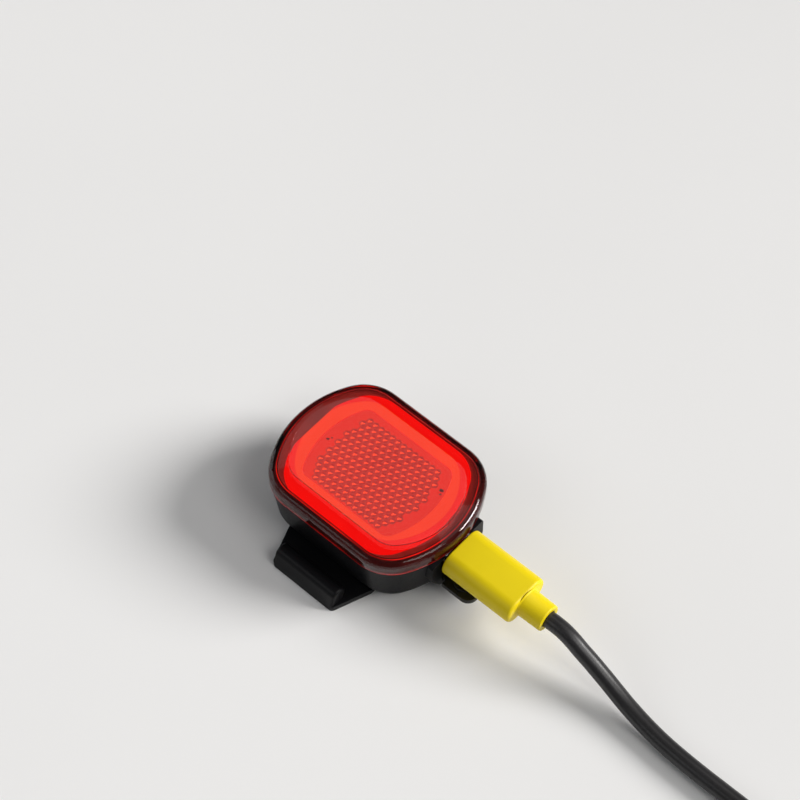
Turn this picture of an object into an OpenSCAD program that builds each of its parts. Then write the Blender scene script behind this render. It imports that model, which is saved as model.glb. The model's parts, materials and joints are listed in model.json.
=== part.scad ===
// Bicycle rear light lying on its back, lens up, with its charging cable plugged in.
// Millimetres. The origin is on the resting plane under the middle of the lens.
// X runs along the light towards the charging port, and Z is up.

/* [Lens] */
// Length of the lens
lens_l = 48.2; // [46:0.1:60]
// Width of the lens
lens_w = 37; // [35:0.1:44]
// Radius of the rounded ends
end_r = 25.6; // [24:0.1:40]
// Radius of the four corners
corner_r = 10.7; // [9.5:0.1:13]
// Height of the lens from its lower edge to its flat top
lens_h = 4.8; // [4.6:0.1:6]
// Wall of the lens skirt
lens_wall = 1.6; // [1.2:0.1:1.8]
// Thickness of the lens under its flat top
lens_top_t = 1.4; // [1:0.1:1.6]
// Height of the upright skirt
skirt_h = 2.3; // [1.8:0.1:2.6]
// Radius of the outer edge above the skirt
lens_edge_r = 1.6; // [0.8:0.1:1.8]
// Distance from the end of the lens to its flat top
flat_end_gap = 3.4; // [3:0.1:5]
// Distance from the side of the lens to its flat top
flat_side_gap = 5.2; // [4:0.1:6]
// End radius of the flat top
flat_end_r = 16.4; // [15:0.1:24]
// Corner radius of the flat top
flat_corner_r = 6; // [4:0.1:7]

/* [Light guide] */
// Thickness of the black shield round the diffuser
shield_t = 0.6; // [0.4:0.1:0.8]
// How far the shield reaches in over the board at the button end of the lens
shield_end = 5.3; // [4.5:0.1:6]
// How much further in than its sides the light guide stops at its ends
guide_end_gap = 1.9; // [0.3:0.1:2.2]
// Gap between the shield and the red diffuser
diffuser_gap = 0.1; // [0.05:0.05:0.4]
// Thickness of the diffuser's plate
diffuser_t = 1.6; // [1.4:0.1:2]
// Thickness of the diffuser's skirt
diffuser_wall = 1.2; // [0.8:0.1:1.6]
// Gap between the lens and the diffuser
diffuser_air = 0.2; // [0.1:0.05:0.4]
// Distance from the end of the lens to the reflector panel
panel_end_gap = 8.6; // [8:0.1:13]
// Distance from the side of the lens to the reflector panel
panel_side_gap = 7.3; // [6.8:0.1:11]
// Thickness of the reflector panel
panel_t = 1; // [0.8:0.1:1.2]
// End radius of the reflector panel
panel_end_r = 22; // [14:0.1:30]
// Corner radius of the reflector panel
panel_corner_r = 2.6; // [2:0.1:4]
// Width of the ledge that carries the panel
panel_ledge = 0.8; // [0.6:0.1:1.2]

/* [Housing] */
// Height of the housing's rim above the resting plane
rim_z = 15; // [14.6:0.1:18]
// Height of the housing's floor above the resting plane
base_z = 0.8; // [0.6:0.1:1.2]
// How far the walls lean in at the foot
taper = 1.2; // [1:0.1:3]
// Radius of the lower edge
foot_r = 4.5; // [3:0.1:4.6]
// Wall thickness
wall = 1.9; // [1.6:0.1:2.2]
// Floor thickness
floor_t = 1.8; // [1.6:0.1:2.4]
// Step between the lens skirt and the housing
rim_step = 0.2; // [0.1:0.05:0.4]
// Width of the lens gasket
gasket_w = 0.9; // [0.6:0.1:1.1]
// Height of the lens gasket
gasket_h = 0.8; // [0.5:0.1:1]

/* [Circuit board] */
// Thickness of the board
board_t = 1; // [0.8:0.1:1.2]
// Gap between the housing's wall at its rim and the board's edge
board_gap = 1.1; // [0.9:0.1:1.4]
// Radius of the posts that carry the board
post_r = 2; // [1.8:0.1:2.1]
// Distance of the posts from the corner of the lens outline
post_inset = 6.5; // [6.3:0.1:6.7]
// Shank radius of every screw
screw_r = 0.9; // [0.8:0.05:1]
// Head radius of every screw
screw_head_r = 1.8; // [1.6:0.05:1.9]
// Side of a light-emitting diode
led_side = 2.8; // [2:0.1:3.2]
// Height of a light-emitting diode
led_h = 0.8; // [0.6:0.1:1]
// Distance of the diodes from the lens outline
led_inset = 7.6; // [7:0.1:8]
// Spacing of the diodes
led_pitch = 4.6; // [4:0.1:4.8]

/* [Battery] */
// Length of the cell
cell_l = 23; // [18:0.1:26]
// Width of the cell
cell_w = 17; // [14:0.1:19]
// Thickness of the cell
cell_t = 5.6; // [4:0.1:6]
// Thickness of the foam pad under the cell
cell_pad_t = 0.5; // [0.3:0.1:0.8]
// Thickness of the cell's protection board
cell_board_t = 1; // [0.8:0.1:1.2]
// Diameter of the battery leads
lead_d = 1; // [0.8:0.1:1.2]

/* [Power button] */
// Width of the button
button_w = 9; // [7:0.1:10]
// Height of the button
button_h = 4.2; // [3.6:0.1:4.4]
// Distance of the button's axis below the rim
button_drop = 3.9; // [3.7:0.1:4.2]
// How far the button stands out of its boss
button_out = 0.9; // [0.7:0.1:1.2]
// Travel of the button
button_travel = 0.5; // [0.3:0.05:0.6]
// Gap round the button
button_gap = 0.1; // [0.05:0.05:0.2]
// How far the face of the button's boss lies inside the end of the lens
button_boss_in = 0.5; // [0.3:0.1:0.7]

/* [Charging port] */
// Distance of the port's axis below the rim
port_drop = 3; // [2.8:0.1:3.2]
// How far the port boss stands out past the end of the lens, less than 0 where it lies inside
port_out = -0.3; // [-0.5:0.1:1.2]
// Width of the port boss
port_boss_w = 17; // [15:0.1:18]
// Depth of the recess round the socket
port_recess = 0.6; // [0.4:0.1:0.8]
// Length of the socket
socket_l = 7.35; // [7.3:0.05:7.6]
// Sheet thickness of the socket and plug shells
shell_t = 0.3; // [0.2:0.05:0.4]

/* [Port cover] */
// Width of the cover
cover_w = 12.4; // [11.6:0.1:13.4]
// Distance from the hinge to the cover's tip
cover_l = 10.1; // [9.2:0.1:10.4]
// Thickness of the cover
cover_t = 1.4; // [1.2:0.1:1.6]
// Distance of the cover's hinge below the port's axis
cover_drop = 6.4; // [6.2:0.1:6.6]
// Radius of the hinge bead
bead_r = 1; // [0.8:0.05:1.1]
// Running gap round the bead
bead_gap = 0.05; // [0.02:0.01:0.1]
// Angle that the cover swings up
cover_up = 10; // [5:1:10]
// Angle that the cover swings down
cover_down = 22; // [10:1:22]

/* [Back plate] */
// Thickness of the back plate
plate_t = 1.6; // [1.5:0.1:2]
// Distance of the plate's edge from the lens outline
plate_inset = 5.2; // [5:0.1:5.6]
// How far a hook reaches out past the side of the lens
hook_reach = 6.9; // [6.6:0.1:9]
// Length of a hook at its outer edge
hook_l = 18.6; // [14:0.1:20]
// Length of a hook's root at the housing
hook_root_l = 25; // [22:0.1:27]
// Radius of a hook's rolled top
hook_r = 2.05; // [1.8:0.05:2.2]
// Height of a hook above the resting plane
hook_h = 5.6; // [5.4:0.1:6.4]
// Length of the grip pad
pad_l = 24; // [18:0.1:25]
// Width of the grip pad
pad_w = 19; // [14:0.1:20]
// Thickness of the grip pad
pad_t = 0.8; // [0.6:0.1:1]
// Gap between the battery and the bosses of the plate screws
plate_boss_gap = 0.4; // [0.2:0.1:0.8]
// Distance between the plate screws across the light
plate_screw_y = 9; // [8:0.1:10.5]

/* [Charging cable] */
// Width of the plug's shell
plug_w = 8.25; // [8.2:0.05:8.3]
// Height of the plug's shell
plug_h = 2.4; // [2.3:0.05:2.5]
// Length of the plug's shell
plug_l = 6.65; // [6.5:0.05:6.7]
// Gap between the plug's shell and the socket
plug_fit = 0.08; // [0.05:0.01:0.1]
// Gap between the port boss and the plug's grip
plug_gap = 0.5; // [0.4:0.1:1]
// Width of the plug's grip
grip_w = 12.5; // [11.5:0.1:14]
// Height of the plug's grip
grip_h = 6.9; // [6:0.1:7.1]
// Length of the plug's grip
grip_l = 19.1; // [16:0.1:26]
// Length of the round strain relief
relief_l = 6.3; // [3:0.1:7]
// Diameter of the strain relief
relief_d = 6.8; // [6:0.1:7.4]
// Diameter of the cord
cord_d = 4; // [3:0.1:4]
// Width of the far plug's grip
far_grip_w = 15.6; // [14:0.1:17]
// Height of the far plug's grip
far_grip_h = 7.8; // [7:0.1:8.4]
// Length of the far plug's grip
far_grip_l = 20; // [18:0.1:28]

/* [Hidden] */
$fn = 48;

// Amount by which a cut runs past a face
over = 0.5;
// Gap between pieces that are only laid against each other
loose = 0.1;
// Gap round a screw's shank, and round the switch's plunger
shank_gap = 0.05;
// Segments of each corner and of each end of an outline
corner_steps = 8;
end_steps = 6;

// Outlines, each as half length, half width, end radius and corner radius
half_l = lens_l / 2;
half_w = lens_w / 2;
lens_shape = [half_l, half_w, end_r, corner_r];
flat_shape = [half_l - flat_end_gap, half_w - flat_side_gap, flat_end_r, flat_corner_r];
guide_shape = [half_l - guide_end_gap, half_w, end_r, corner_r];
panel_shape = [half_l - panel_end_gap, half_w - panel_side_gap, panel_end_r, panel_corner_r];

// Levels, from the foot up
floor_z = base_z + floor_t;
cell_z = floor_z + cell_pad_t;
port_z = rim_z - port_drop;
button_z = rim_z - button_drop;
cover_z = port_z - cover_drop;
socket_w = plug_w + 2 * (plug_fit + shell_t);
socket_h = plug_h + 2 * (plug_fit + shell_t);
board_z = port_z + socket_h / 2;
board_top = board_z + board_t;
lens_top = rim_z + lens_h;
diffuser_top = lens_top - lens_top_t - diffuser_air;
diffuser_z = diffuser_top - diffuser_t;

// Insets from the lens outline
wall_inset = rim_step + wall;
foot_inset = rim_step + taper;
board_inset = wall_inset + board_gap;
shield_inset = lens_wall + loose;
diffuser_inset = max(wall_inset, shield_inset + shield_t) + diffuser_gap;

// Places along the light
boss_board_gap = 0.3;
bead_cover = 0.3;
port_face = half_l + port_out;
boss_back = half_l - board_inset + boss_board_gap;
boss_top = rim_z - gasket_h - loose;
socket_mouth = port_face - port_recess;
plug_face = port_face + plug_gap;
grip_end = plug_face + grip_l;
relief_end = grip_end + relief_l;
hinge_x = port_face - bead_r - bead_cover;
button_face = half_l - button_boss_in;

// Button flange and stem, and the switch behind them
flange_w = button_w + 2;
flange_t = 0.8;
stem_l = 0.9;
stem_r = 1.2;
plunger_r = 0.9;
plunger_out = 1;
plunger_in = 0.5;
switch_l = 3.8;
switch_w = 6;
switch_h = 3.8;
button_room = boss_back - loose - flange_t - button_travel - loose;
switch_x = boss_back - loose - flange_t - stem_l - plunger_out;

// Socket tongue, and the slot for it in the plug
tongue_l = 5.2;
tongue_side = 0.775;
tongue_w = plug_w - 2 * tongue_side;
tongue_t = 0.7;
tongue_back = socket_mouth - socket_l + shell_t;
tongue_root = (plug_face - plug_l - tongue_back) / 2;

function corner_at(s) = [s[0] - s[2] + sqrt(pow(s[2] - s[3], 2) - pow(s[1] - s[3], 2)), s[1] - s[3]];
function arc(x, y, r, from, to, first, steps) =
  [for (k = [first:steps]) let(t = from + (to - from) * k / steps) [x + r * cos(t), y + r * sin(t)]];

// Points of an outline moved in by an inset: two bulged ends, four corners, two straight sides
function outline(s, inset) =
  let(c = corner_at(s), e = s[0] - s[2], re = s[2] - inset, rc = s[3] - inset)
  let(t = asin(c[1] / (s[2] - s[3])))
  concat(arc(e, 0, re, -t, t, 1, end_steps),
         arc(c[0], c[1], rc, t, 90, 1, corner_steps),
         arc(-c[0], c[1], rc, 90, 180 - t, 0, corner_steps),
         arc(-e, 0, re, 180 - t, 180 + t, 1, end_steps),
         arc(-c[0], -c[1], rc, 180 + t, 270, 1, corner_steps),
         arc(c[0], -c[1], rc, 270, 360 - t, 0, corner_steps));

// A ring is an outline's shape, its inset and its height
function ring(s, inset, z) = [for (p = outline(s, inset)) [p[0], p[1], z]];
function join(lists) = [for (l = lists) for (p = l) p];
function sides(n, from, to) =
  [for (k = [0:n - 1]) let(a = from * n + k, b = from * n + (k + 1) % n)
   let(c = to * n + (k + 1) % n, d = to * n + k) each [[a, d, c], [a, c, b]]];

// Skin over a chain of rings, closed by the first and the last ring
module loft(rings) {
  n = len(rings[0]);
  last = len(rings) - 1;
  polyhedron(join(rings),
             concat([[for (k = [0:n - 1]) k]],
                    join([for (r = [0:last - 1]) sides(n, r, r + 1)]),
                    [[for (k = [n - 1:-1:0]) last * n + k]]));
}

// Skin over a loop of rings, where the last ring joins the first
module loop(rings) {
  n = len(rings[0]);
  count = len(rings);
  polyhedron(join(rings), join([for (r = [0:count - 1]) sides(n, r, (r + 1) % count)]));
}

// Round tube along points; ref is a direction that the tube never runs in
function unit(v) = v / norm(v);
function heading(p, k) = unit(p[min(k + 1, len(p) - 1)] - p[max(k - 1, 0)]);
function tube_ring(at, dir, ref, r, n) =
  let(side = unit(cross(dir, ref)), up = cross(side, dir))
  [for (k = [0:n - 1]) at + r * (cos(360 * k / n) * side - sin(360 * k / n) * up)];
module tube(points, r, n, ref = [0, 0, 1]) {
  loft([for (k = [0:len(points) - 1]) tube_ring(points[k], heading(points, k), ref, r, n)]);
}

// Flat shape with two round ends, and one drawn across the light and run along X
module stadium(w, h) {
  square([w - h, h], center = true);
  for (s = [-1, 1]) translate([s * (w - h) / 2, 0]) circle(d = h);
}
module along_x(x, z, length) {
  translate([x, 0, z]) rotate([90, 0, 90]) linear_extrude(length) children();
}
module rod_x(x, z, length, r) {
  translate([x, 0, z]) rotate([0, 90, 0]) cylinder(r = r, h = length);
}
module block(x, y, z, l, w, h) {
  translate([x, y - w / 2, z]) cube([l, w, h]);
}
post_at = corner_at(lens_shape) + (corner_r - post_inset) * cos(45) * [1, 1];
module at_posts() {
  for (sx = [-1, 1], sy = [-1, 1]) translate([sx * post_at[0], sy * post_at[1], 0]) children();
}
module at_plate_screws() {
  screw_x = max(cell_l / 2 + cell_board_t + post_r, pad_l / 2 + screw_head_r) + plate_boss_gap;
  for (sx = [-1, 1], sy = [-1, 1])
    translate([sx * screw_x, sy * plate_screw_y / 2, 0]) children();
}

// Lens and light guide
cavity_top = lens_top - lens_top_t;
cavity_chamfer = 0.6;
module front_lens() {
  edge = [for (t = [0:18:72])
          ring(lens_shape, lens_edge_r * (1 - cos(t)), rim_z + skirt_h + lens_edge_r * sin(t))];
  color("firebrick", 0.5)
    loft(concat([ring(lens_shape, lens_wall + cavity_chamfer, cavity_top),
                 ring(lens_shape, lens_wall, cavity_top - cavity_chamfer),
                 ring(lens_shape, lens_wall, rim_z),
                 ring(lens_shape, 0, rim_z)],
                edge,
                [ring(flat_shape, 0, lens_top)]));
}

module lens_gasket() {
  outer = wall_inset - gasket_w;
  color("dimgray")
    loop([ring(lens_shape, outer, rim_z - gasket_h), ring(lens_shape, outer, rim_z),
          ring(lens_shape, wall_inset, rim_z), ring(lens_shape, wall_inset, rim_z - gasket_h)]);
}

// Ring that keeps the light out of the lens skirt; it stands on the gasket and covers the button end
module light_shield() {
  inner = shield_inset + shield_t;
  top = cavity_top - cavity_chamfer - loose;
  color("black") {
    loop([ring(lens_shape, shield_inset, rim_z), ring(lens_shape, shield_inset, top),
          ring(guide_shape, inner, top), ring(guide_shape, inner, rim_z)]);
    intersection() {
      loft([ring(lens_shape, shield_inset, diffuser_z), ring(lens_shape, shield_inset, top)]);
      block(-half_l, 0, diffuser_z, shield_end, lens_w, top - diffuser_z);
    }
  }
}

module light_diffuser() {
  outer = diffuser_inset;
  inner = outer + diffuser_wall;
  ledge_z = diffuser_top - panel_t;
  chamfer = 0.4;
  color("red") difference() {
    loop([ring(guide_shape, outer, board_top), ring(guide_shape, outer, diffuser_top - chamfer),
          ring(guide_shape, outer + chamfer, diffuser_top), ring(panel_shape, -loose, diffuser_top),
          ring(panel_shape, -loose, ledge_z), ring(panel_shape, panel_ledge, ledge_z),
          ring(panel_shape, panel_ledge, diffuser_z), ring(guide_shape, inner, diffuser_z),
          ring(guide_shape, inner, board_top)]);
    block(-half_l, 0, board_z, shield_end + loose, lens_w, diffuser_top);
    at_posts() translate([0, 0, board_z])
      cylinder(r = screw_head_r + loose, h = board_t + board_head_h + loose);
  }
}

module reflector_panel() {
  color("darkred")
    loft([ring(panel_shape, 0, diffuser_top - panel_t), ring(panel_shape, 0, diffuser_top)]);
}

// Circuit board and what is on it
module circuit_board() {
  color("white") difference() {
    translate([0, 0, board_z]) linear_extrude(board_t) polygon(outline(lens_shape, board_inset));
    at_posts() translate([0, 0, board_z - over]) cylinder(r = screw_r + loose, h = board_t + 2 * over);
    block(-half_l, 0, board_z - over, half_l - button_room, flange_w + 2 * button_gap, board_t + 2 * over);
  }
}

module leds() {
  end_x = half_l - led_inset - led_side / 2;
  side_y = half_w - led_inset;
  side_count = floor((post_at[0] - screw_head_r - led_side / 2 - loose) / led_pitch);
  color("lightyellow") translate([0, 0, board_top]) {
    for (sy = [-1, 1], k = [-side_count:side_count])
      block(k * led_pitch - led_side / 2, sy * side_y, 0, led_side, led_side, led_h);
    for (sx = [-1, 1], k = [-1:1])
      block(sx * end_x - led_side / 2, k * led_pitch, 0, led_side, led_side, led_h);
  }
}

// A part soldered under the board: place, length, width and height
module under_board(x, y, l, w, h) {
  block(x, y, board_z - h, l, w, h);
}
chip_end_gap = 14.1;
chip_side_gap = 13;
chip_step = 7;
module control_chip() {
  color("black") under_board(half_l - chip_end_gap - chip_step, chip_side_gap - half_w, 5, 5, 1);
}
module charge_chip() {
  color("black") under_board(half_l - chip_end_gap, chip_side_gap - half_w, 4, 5, 1.5);
}
module capacitors() {
  count = 4;
  pitch = 3.2;
  end_gap = 10.4;
  side_gap = 12;
  color("tan") for (k = [0:count - 1])
    under_board(half_l - end_gap - pitch * k, half_w - side_gap, 2, 1.25, 1.2);
}

board_screw_l = 4;
board_head_h = 1.2;
module board_screws() {
  color("silver") at_posts() {
    translate([0, 0, board_top]) cylinder(r = screw_head_r, h = board_head_h);
    translate([0, 0, board_z - board_screw_l]) cylinder(r = screw_r, h = board_screw_l + board_t);
  }
}

// Charging socket
module usb_socket_shell() {
  back = socket_mouth - socket_l;
  color("silver") difference() {
    along_x(back, port_z, socket_l) stadium(socket_w, socket_h);
    along_x(back + shell_t, port_z, socket_l) stadium(socket_w - 2 * shell_t, socket_h - 2 * shell_t);
  }
}
module usb_socket_tongue() {
  color("black") {
    block(tongue_back, 0, port_z - tongue_t / 2, tongue_l, tongue_w, tongue_t);
    along_x(tongue_back, port_z, tongue_root) stadium(socket_w - 2 * shell_t, socket_h - 2 * shell_t);
  }
}

// Switch and power button
module switch_body() {
  color("dimgray") difference() {
    under_board(-switch_x, 0, switch_l, switch_w, switch_h);
    rod_x(-switch_x - over, button_z, plunger_in + button_travel + loose + over, plunger_r + shank_gap);
  }
}
module switch_plunger() {
  color("white") rod_x(-switch_x - plunger_out, button_z, plunger_out + plunger_in, plunger_r);
}
module power_button() {
  flange_x = -boss_back + loose;
  cap_x = -button_face - button_out;
  color("black") {
    along_x(cap_x, button_z, flange_x - cap_x) stadium(button_w, button_h);
    along_x(flange_x, button_z, flange_t) stadium(flange_w, button_h);
    rod_x(flange_x + flange_t, button_z, stem_l, stem_r);
  }
}

// Battery
module battery_cell() {
  color("lightsteelblue") block(-cell_l / 2, 0, cell_z, cell_l, cell_w, cell_t);
}
cell_board_w = 14;
cell_board_edge = 0.6;
module battery_board() {
  height = cell_t - 2 * cell_board_edge;
  color("darkgreen")
    block(-cell_l / 2 - cell_board_t, 0, cell_z + cell_board_edge, cell_board_t, cell_board_w, height);
}
module battery_pad() {
  edge = 1;
  color("gray") block(-cell_l / 2 + edge, 0, floor_z, cell_l - 2 * edge, cell_w - 2 * edge, cell_pad_t);
}

// The leads leave the top of the protection board, turn and enter the connector
connector_x = -6;
connector_l = 5;
connector_w = 5.6;
connector_h = 2.6;
lead_pitch = 1.8;
lead_switch_gap = 0.7;
lead_y = switch_w / 2 + lead_switch_gap + (lead_pitch + lead_d) / 2;
lead_x = -cell_l / 2 - cell_board_t / 2;
lead_z = board_z - connector_h / 2;
lead_from = cell_z + cell_t - cell_board_edge;
lead_bend = 2;
module battery_connector() {
  color("ivory") under_board(connector_x, lead_y, connector_l, connector_w, connector_h);
}
module battery_leads() {
  bend = [for (t = [0:22.5:90])
          [lead_x + lead_bend * (1 - cos(t)), 0, lead_z - lead_bend * (1 - sin(t))]];
  route = concat([[lead_x, 0, lead_from]], bend, [[connector_x, 0, lead_z]]);
  color("crimson") for (s = [-1, 1])
    translate([0, lead_y + s * lead_pitch / 2, 0]) tube(route, lead_d / 2, 8, [0, 1, 0]);
}

// Housing
module housing_cup() {
  foot_draw = 0.36;
  foot = [for (t = [0:15:90])
          ring(lens_shape, foot_inset + foot_r * (1 - sin(t)), base_z + foot_r * (1 - cos(t)))];
  loft(concat(foot,
              [ring(lens_shape, rim_step, rim_z),
               ring(lens_shape, wall_inset - gasket_w, rim_z),
               ring(lens_shape, wall_inset - gasket_w, rim_z - gasket_h),
               ring(lens_shape, wall_inset, rim_z - gasket_h),
               ring(lens_shape, wall_inset + taper + foot_draw * foot_r, floor_z)]));
}

// Socket opening, and the groove with a flared mouth that holds the cover's bead
bead_l = 10;
neck_t = 0.8;
neck_gap = 0.2;
module port_cuts() {
  depth = port_face - hinge_x + over;
  mouth = neck_t / 2 + neck_gap;
  groove_l = bead_l + 2 * loose;
  inside = 4;
  recess_w = 1;
  along_x(boss_back - inside, port_z, port_face - boss_back + inside)
    stadium(socket_w + 2 * loose, socket_h + 2 * loose);
  along_x(socket_mouth, port_z, port_recess + over)
    stadium(socket_w + 2 * recess_w, socket_h + 2 * recess_w);
  translate([hinge_x, groove_l / 2, cover_z]) rotate([90, 0, 0]) {
    cylinder(r = bead_r + bead_gap, h = groove_l);
    linear_extrude(groove_l)
      polygon([[0, mouth], [depth, mouth + depth * tan(cover_up)],
               [depth, -mouth - depth * tan(cover_down)], [0, -mouth]]);
  }
}
module button_cuts() {
  inside = 3;
  along_x(-button_face - over, button_z, button_face - boss_back + 2 * over)
    stadium(button_w + 2 * button_gap, button_h + 2 * button_gap);
  along_x(-boss_back, button_z, inside)
    stadium(flange_w + 2 * button_gap, button_h + 2 * button_gap);
}

plate_boss_h = 3.4;
boss_cap = 1;
module port_boss(low) {
  side = port_boss_w / 2;
  foot = 5.6;
  slant = 3.5;
  slant_z = port_z - slant;
  along_x(boss_back, 0, port_face - boss_back)
    polygon([[side, boss_top], [-side, boss_top], [-side, slant_z],
             [-foot, low], [foot, low], [side, slant_z]]);
}
module rear_housing() {
  port_lip = 0.9;
  button_lip = 1.2;
  button_side = 1.8;
  port_low = cover_z - bead_r - port_lip;
  button_low = button_z - button_h / 2 - button_lip;
  button_boss_w = button_w + 2 * button_side;
  color("#1c1c1e") difference() {
    union() {
      housing_cup();
      at_posts() translate([0, 0, floor_z - loose]) cylinder(r = post_r, h = board_z - floor_z + loose);
      at_plate_screws() translate([0, 0, floor_z - loose]) cylinder(r = post_r, h = plate_boss_h + loose);
      port_boss(port_low);
      block(-button_face, 0, button_low, button_face - boss_back, button_boss_w, boss_top - button_low);
    }
    at_posts() translate([0, 0, board_z - board_screw_l - boss_cap])
      cylinder(r = screw_r + shank_gap, h = board_screw_l + boss_cap + over);
    at_plate_screws() translate([0, 0, -over])
      cylinder(r = screw_r + shank_gap, h = floor_z + plate_boss_h - boss_cap + over);
    loft([ring(lens_shape, plate_inset - loose, -over), ring(lens_shape, plate_inset - loose, plate_t)]);
    block(-hook_root_l / 2 - loose, 0, -over, hook_root_l + 2 * loose, lens_w, plate_t + over);
    port_cuts();
    button_cuts();
  }
}

// Back plate with its two hooks: the profile is drawn across the light, the plan from above
hook_y = half_w + hook_reach;
hook_lip = 0.8;
hook_lean = 0.75;
hook_axis = [hook_y - hook_lean - hook_r, hook_h - hook_r];
hook_overlap = 2;
hook_root_y = half_w - plate_inset - hook_overlap;
module hook_profile() {
  neck_y = hook_axis[0] - hook_r * cos(45);
  polygon(concat([[hook_root_y, 0], [hook_y, 0], [hook_y, hook_lip]],
                 arc(hook_axis[0], hook_axis[1], hook_r, 20, 225, 0, 14),
                 [[neck_y, plate_t], [hook_root_y, plate_t]]));
}
module hook_plan() {
  foot_gap = 0.8;
  foot_share = (plate_t - base_z) / foot_r;
  slot_inset = foot_inset + foot_r * (1 - sqrt(1 - pow(1 - foot_share, 2)));
  flare_y = half_w - slot_inset + foot_gap;
  corner = 1.2;
  edge = [[hook_root_l / 2, hook_root_y - over], [hook_root_l / 2, flare_y],
          [hook_l / 2, hook_y - corner], [hook_l / 2 - corner, hook_y + loose]];
  polygon(concat(edge, [for (k = [len(edge) - 1:-1:0]) [-edge[k][0], edge[k][1]]]));
}
// A wing that narrows outwards lies on the resting plane and carries the rolled edge
module hook() {
  roll_in = 0.4;
  roll_l = hook_l - 2 * roll_in;
  intersection() {
    along_x(-hook_root_l, 0, 2 * hook_root_l) hook_profile();
    union() {
      linear_extrude(plate_t) hook_plan();
      block(-roll_l / 2, hook_axis[0], plate_t - loose, roll_l, 2 * hook_reach, hook_h);
    }
  }
}
module hook_plate() {
  head_h = screw_head_r - screw_r;
  color("#202022") difference() {
    union() {
      linear_extrude(plate_t) polygon(outline(lens_shape, plate_inset));
      for (turn = [0, 180]) rotate([0, 0, turn]) hook();
    }
    block(-pad_l / 2 - loose, 0, -over, pad_l + 2 * loose, pad_w + 2 * loose, pad_t + over);
    at_plate_screws() {
      translate([0, 0, -over]) cylinder(r = screw_r + shank_gap, h = plate_t + 2 * over);
      cylinder(r1 = screw_head_r + shank_gap, r2 = screw_r + shank_gap, h = head_h);
      translate([0, 0, -over]) cylinder(r = screw_head_r + shank_gap, h = over);
    }
  }
}
module grip_pad() {
  ribs = 5;
  groove_w = 1;
  groove_depth = 0.35;
  step = pad_w / ribs;
  color("#2a2a2a") difference() {
    block(-pad_l / 2, 0, 0, pad_l, pad_w, pad_t);
    for (k = [1:ribs - 1])
      block(-pad_l / 2 - over, (k - ribs / 2) * step, -over, pad_l + 2 * over, groove_w, over + groove_depth);
  }
}
module plate_screws() {
  color("silver") at_plate_screws() {
    cylinder(r1 = screw_head_r, r2 = screw_r, h = screw_head_r - screw_r);
    cylinder(r = screw_r, h = floor_z + plate_boss_h - 2 * boss_cap);
  }
}

// Rubber cover of the port, swung open, with the rib that seals the recess round the socket
module port_cover() {
  plate_gap = 0.75;
  plate_from = port_face + plate_gap;
  tip = hinge_x + cover_l;
  tip_r = 2.5;
  side = cover_w / 2;
  neck_w = bead_l - 2 * neck_gap;
  plate_top = cover_z + neck_t / 2;
  rib_back = 0.6;
  rib_x = hinge_x + cover_drop - rib_back;
  rib_h = 0.8;
  rib_w = 0.7;
  plan = concat([[plate_from, -side]], arc(tip - tip_r, tip_r - side, tip_r, 270, 360, 0, 6),
                arc(tip - tip_r, side - tip_r, tip_r, 0, 90, 0, 6), [[plate_from, side]]);
  color("#18181a") {
    translate([hinge_x, bead_l / 2, cover_z]) rotate([90, 0, 0]) cylinder(r = bead_r, h = bead_l);
    block(hinge_x, 0, cover_z - neck_t / 2, plate_from - hinge_x + over, neck_w, neck_t);
    translate([0, 0, plate_top - cover_t]) linear_extrude(cover_t) polygon(plan);
    translate([rib_x, 0, plate_top - over]) rotate([0, 0, 90]) linear_extrude(over + rib_h) difference() {
      stadium(socket_w + 2 * rib_w, socket_h + 2 * rib_w);
      stadium(socket_w, socket_h);
    }
  }
}

// Charging plug
module usb_c_shell() {
  color("silver") difference() {
    along_x(plug_face - plug_l, port_z, plug_l) stadium(plug_w, plug_h);
    along_x(plug_face - plug_l - over, port_z, plug_l + 2 * over)
      stadium(plug_w - 2 * shell_t, plug_h - 2 * shell_t);
  }
}
module usb_c_contacts() {
  set_back = 0.2;
  slot_t = tongue_t + 2 * loose;
  color("black") difference() {
    along_x(plug_face - plug_l + set_back, port_z, plug_l - set_back)
      stadium(plug_w - 2 * shell_t, plug_h - 2 * shell_t);
    block(plug_face - plug_l - over, 0, port_z - slot_t / 2, tongue_l + over, tongue_w + 2 * loose, slot_t);
  }
}
module usb_c_grip() {
  color("gold") along_x(plug_face, port_z, grip_l) stadium(grip_w, grip_h);
}
module strain_relief() {
  draft = 0.2;
  color("gold") translate([grip_end, 0, port_z]) rotate([0, 90, 0])
    cylinder(d1 = relief_d, d2 = relief_d - draft, h = relief_l);
}

// Cord: from the strain relief down to the resting plane and along it to the coil.
// Each step is its distance from the strain relief, its Y, and its share of the drop that is left.
cord_r = cord_d / 2;
cord_lift = 0.6;
cord_z = cord_r + cord_lift;
cord_steps = [[0, 0, 1], [3.4, 0, 1], [6.4, -0.1, 0.925], [9.4, -0.25, 0.777], [12.1, -0.3, 0.638],
              [14.9, -0.4, 0.489], [17.8, -0.6, 0.351], [20.8, -0.95, 0.234], [23.8, -1.35, 0.143],
              [27.8, -1.85, 0.063], [31.8, -2.3, 0.019], [36, -2.65, 0], [41, -2.9, 0], [46, -3, 0],
              [51, -3, 0], [56, -3, 0], [61, -3, 0], [66, -3, 0], [72.3, -3, 0]];
cord_route = [for (p = cord_steps) [relief_end + p[0], p[1], cord_z + p[2] * (port_z - cord_z)]];
coil_from = cord_route[len(cord_route) - 1];
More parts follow.
